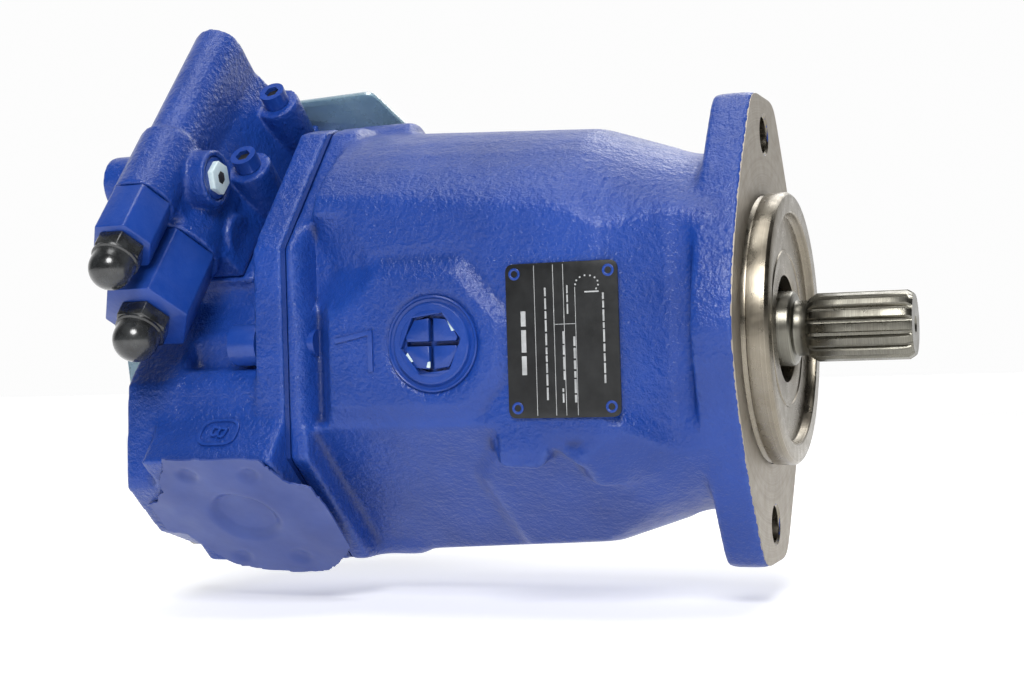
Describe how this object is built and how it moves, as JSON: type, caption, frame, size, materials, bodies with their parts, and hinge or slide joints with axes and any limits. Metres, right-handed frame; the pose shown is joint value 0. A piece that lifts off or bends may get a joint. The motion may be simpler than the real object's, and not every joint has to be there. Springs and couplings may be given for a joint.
{
  "type": "axial piston pump",
  "caption": "Swashplate axial piston pump with a splined shaft, oval mounting flange with pilot, flanged oil ports on opposite sides and a pressure and flow control valve.",
  "frame": {"origin": "centre of the mounting flange's face, on the shaft axis", "axes": "+X along the shaft out of the drive end, +Z along the line through the two flange bolt holes, the name plate faces -Y"},
  "size_m": [0.3033, 0.2118, 0.2198],
  "materials": {
    "blue_paint": "glossy blue enamel over a cast surface, bare steel on the flange face and pilot",
    "painted_plug": "plastic plug, painted over, white where the paint is off",
    "painted_film": "thin plastic cover painted over, satin",
    "black_steel": "black oiled steel, satin",
    "gasket": "matt black",
    "ground_steel": "ground and polished",
    "shaft_steel": "turned steel, light oil",
    "machined_steel": "machined",
    "bronze": "turned bronze",
    "plate_black": "black anodised sheet with white rules",
    "teal_plastic": "translucent soft plastic"
  },
  "bodies": {
    "casing": {"housing": "blue_paint", "port_plate": "blue_paint", "housing_gasket": "gasket", "housing_screw_1": "blue_paint", "housing_screw_2": "blue_paint", "housing_screw_3": "black_steel", "housing_screw_4": "black_steel", "shaft_seal": "gasket", "front_bearing_cup": "ground_steel", "rear_bearing_cup": "ground_steel", "valve_plate": "bronze", "cradle_bearing_1": "bronze", "cradle_bearing_2": "bronze", "name_plate": "plate_black", "stroke_guide": "machined_steel", "bias_spring": "machined_steel", "control_valve_block": "blue_paint", "control_screw_1": "blue_paint", "control_screw_2": "blue_paint", "control_screw_3": "blue_paint", "control_screw_4": "blue_paint", "control_port_plug": "teal_plastic", "pressure_sleeve": "blue_paint", "flow_sleeve": "blue_paint", "drain_port_plug": "painted_plug", "second_drain_plug": "painted_plug", "pressure_port_cover": "painted_film", "suction_port_cover": "teal_plastic", "through_drive_cover": "teal_plastic"},
    "shaft": {"drive_shaft": "shaft_steel", "front_bearing_cone": "ground_steel", "rear_bearing_cone": "ground_steel", "cylinder_barrel": "machined_steel", "retainer_ball": "machined_steel"},
    "swash": {"swashplate": "machined_steel"},
    "retainer": {"retainer_plate": "machined_steel"},
    "stroke_piston": {"stroke_piston": "ground_steel"},
    "bias_piston": {"bias_piston": "ground_steel"},
    "pressure_spool": {"pressure_spool": "ground_steel"},
    "flow_spool": {"flow_spool": "ground_steel"},
    "pressure_adjuster": {"pressure_adjuster": "black_steel"},
    "flow_adjuster": {"flow_adjuster": "black_steel"},
    "slipper_1": {"slipper_1": "bronze"},
    "piston_1": {"piston_1": "ground_steel"},
    "slipper_2": {"slipper_2": "bronze"},
    "piston_2": {"piston_2": "ground_steel"},
    "slipper_3": {"slipper_3": "bronze"},
    "piston_3": {"piston_3": "ground_steel"},
    "slipper_4": {"slipper_4": "bronze"},
    "piston_4": {"piston_4": "ground_steel"},
    "slipper_5": {"slipper_5": "bronze"},
    "piston_5": {"piston_5": "ground_steel"},
    "slipper_6": {"slipper_6": "bronze"},
    "piston_6": {"piston_6": "ground_steel"},
    "slipper_7": {"slipper_7": "bronze"},
    "piston_7": {"piston_7": "ground_steel"},
    "slipper_8": {"slipper_8": "bronze"},
    "piston_8": {"piston_8": "ground_steel"},
    "slipper_9": {"slipper_9": "bronze"},
    "piston_9": {"piston_9": "ground_steel"}
  },
  "joints": [
    {"name": "shaft_spin", "type": "hinge", "parent": "casing", "child": "shaft", "pos_m": [0, 0, 0], "axis": [1, 0, 0], "continuous": true},
    {"name": "swash_tilt", "type": "hinge", "parent": "casing", "child": "swash", "pos_m": [-0.078, 0, 0], "axis": [0, -0.6561, -0.7547], "range_deg": [0, 16]},
    {"name": "retainer_spin", "type": "hinge", "parent": "swash", "child": "retainer", "pos_m": [-0.078, 0, 0], "axis": [1, 0, 0], "continuous": true},
    {"name": "slipper_1_spin", "type": "hinge", "parent": "retainer", "child": "slipper_1", "pos_m": [-0.078, 0.03467, 0], "axis": [1, 0, 0], "continuous": true},
    {"name": "piston_1_tilt", "type": "hinge", "parent": "slipper_1", "child": "piston_1", "pos_m": [-0.078, 0.03467, 0], "axis": [0, -0.6561, -0.7547], "range_deg": [-16, 0]},
    {"name": "slipper_2_spin", "type": "hinge", "parent": "retainer", "child": "slipper_2", "pos_m": [-0.078, 0.02656, 0.02228], "axis": [1, 0, 0], "continuous": true},
    {"name": "piston_2_tilt", "type": "hinge", "parent": "slipper_2", "child": "piston_2", "pos_m": [-0.078, 0.02656, 0.02228], "axis": [0, -0.6561, -0.7547], "range_deg": [-16, 0]},
    {"name": "slipper_3_spin", "type": "hinge", "parent": "retainer", "child": "slipper_3", "pos_m": [-0.078, 0.00602, 0.03414], "axis": [1, 0, 0], "continuous": true},
    {"name": "piston_3_tilt", "type": "hinge", "parent": "slipper_3", "child": "piston_3", "pos_m": [-0.078, 0.00602, 0.03414], "axis": [0, -0.6561, -0.7547], "range_deg": [-16, 0]},
    {"name": "slipper_4_spin", "type": "hinge", "parent": "retainer", "child": "slipper_4", "pos_m": [-0.078, -0.01733, 0.03002], "axis": [1, 0, 0], "continuous": true},
    {"name": "piston_4_tilt", "type": "hinge", "parent": "slipper_4", "child": "piston_4", "pos_m": [-0.078, -0.01733, 0.03002], "axis": [0, -0.6561, -0.7547], "range_deg": [-16, 0]},
    {"name": "slipper_5_spin", "type": "hinge", "parent": "retainer", "child": "slipper_5", "pos_m": [-0.078, -0.03258, 0.01186], "axis": [1, 0, 0], "continuous": true},
    {"name": "piston_5_tilt", "type": "hinge", "parent": "slipper_5", "child": "piston_5", "pos_m": [-0.078, -0.03258, 0.01186], "axis": [0, -0.6561, -0.7547], "range_deg": [-16, 0]},
    {"name": "slipper_6_spin", "type": "hinge", "parent": "retainer", "child": "slipper_6", "pos_m": [-0.078, -0.03258, -0.01186], "axis": [1, 0, 0], "continuous": true},
    {"name": "piston_6_tilt", "type": "hinge", "parent": "slipper_6", "child": "piston_6", "pos_m": [-0.078, -0.03258, -0.01186], "axis": [0, -0.6561, -0.7547], "range_deg": [-16, 0]},
    {"name": "slipper_7_spin", "type": "hinge", "parent": "retainer", "child": "slipper_7", "pos_m": [-0.078, -0.01733, -0.03002], "axis": [1, 0, 0], "continuous": true},
    {"name": "piston_7_tilt", "type": "hinge", "parent": "slipper_7", "child": "piston_7", "pos_m": [-0.078, -0.01733, -0.03002], "axis": [0, -0.6561, -0.7547], "range_deg": [-16, 0]},
    {"name": "slipper_8_spin", "type": "hinge", "parent": "retainer", "child": "slipper_8", "pos_m": [-0.078, 0.00602, -0.03414], "axis": [1, 0, 0], "continuous": true},
    {"name": "piston_8_tilt", "type": "hinge", "parent": "slipper_8", "child": "piston_8", "pos_m": [-0.078, 0.00602, -0.03414], "axis": [0, -0.6561, -0.7547], "range_deg": [-16, 0]},
    {"name": "slipper_9_spin", "type": "hinge", "parent": "retainer", "child": "slipper_9", "pos_m": [-0.078, 0.02656, -0.02228], "axis": [1, 0, 0], "continuous": true},
    {"name": "piston_9_tilt", "type": "hinge", "parent": "slipper_9", "child": "piston_9", "pos_m": [-0.078, 0.02656, -0.02228], "axis": [0, -0.6561, -0.7547], "range_deg": [-16, 0]},
    {"name": "stroke_slide", "type": "slide", "parent": "casing", "child": "stroke_piston", "axis": [-1, 0, 0], "range_m": [0, 0.0167]},
    {"name": "bias_slide", "type": "slide", "parent": "casing", "child": "bias_piston", "axis": [1, 0, 0], "range_m": [0, 0.0167]},
    {"name": "pressure_spool_slide", "type": "slide", "parent": "casing", "child": "pressure_spool", "axis": [0, -0.6561, -0.7547], "range_m": [0, 0.004], "stiffness_N_per_m": 2000, "springref_m": -0.002},
    {"name": "flow_spool_slide", "type": "slide", "parent": "casing", "child": "flow_spool", "axis": [0, -0.6561, -0.7547], "range_m": [0, 0.004], "stiffness_N_per_m": 1500, "springref_m": -0.002},
    {"name": "pressure_adjuster_turn", "type": "hinge", "parent": "casing", "child": "pressure_adjuster", "pos_m": [-0.22, -0.08281, 0.00839], "axis": [0, 0.6561, 0.7547], "range_deg": [-180, 180]},
    {"name": "flow_adjuster_turn", "type": "hinge", "parent": "casing", "child": "flow_adjuster", "pos_m": [-0.22, -0.09738, 0.0343], "axis": [0, 0.6561, 0.7547], "range_deg": [-180, 180]}
  ],
  "couplings": [
    {"joint": "retainer_spin", "follows": "shaft_spin", "ratio": 1},
    {"joint": "slipper_1_spin", "follows": "shaft_spin", "ratio": -1},
    {"joint": "piston_1_tilt", "follows": "swash_tilt", "ratio": -1},
    {"joint": "slipper_2_spin", "follows": "shaft_spin", "ratio": -1},
    {"joint": "piston_2_tilt", "follows": "swash_tilt", "ratio": -1},
    {"joint": "slipper_3_spin", "follows": "shaft_spin", "ratio": -1},
    {"joint": "piston_3_tilt", "follows": "swash_tilt", "ratio": -1},
    {"joint": "slipper_4_spin", "follows": "shaft_spin", "ratio": -1},
    {"joint": "piston_4_tilt", "follows": "swash_tilt", "ratio": -1},
    {"joint": "slipper_5_spin", "follows": "shaft_spin", "ratio": -1},
    {"joint": "piston_5_tilt", "follows": "swash_tilt", "ratio": -1},
    {"joint": "slipper_6_spin", "follows": "shaft_spin", "ratio": -1},
    {"joint": "piston_6_tilt", "follows": "swash_tilt", "ratio": -1},
    {"joint": "slipper_7_spin", "follows": "shaft_spin", "ratio": -1},
    {"joint": "piston_7_tilt", "follows": "swash_tilt", "ratio": -1},
    {"joint": "slipper_8_spin", "follows": "shaft_spin", "ratio": -1},
    {"joint": "piston_8_tilt", "follows": "swash_tilt", "ratio": -1},
    {"joint": "slipper_9_spin", "follows": "shaft_spin", "ratio": -1},
    {"joint": "piston_9_tilt", "follows": "swash_tilt", "ratio": -1},
    {"joint": "stroke_slide", "follows": "swash_tilt", "m_per_rad": 0.0598},
    {"joint": "bias_slide", "follows": "swash_tilt", "m_per_rad": 0.0598}
  ]
}
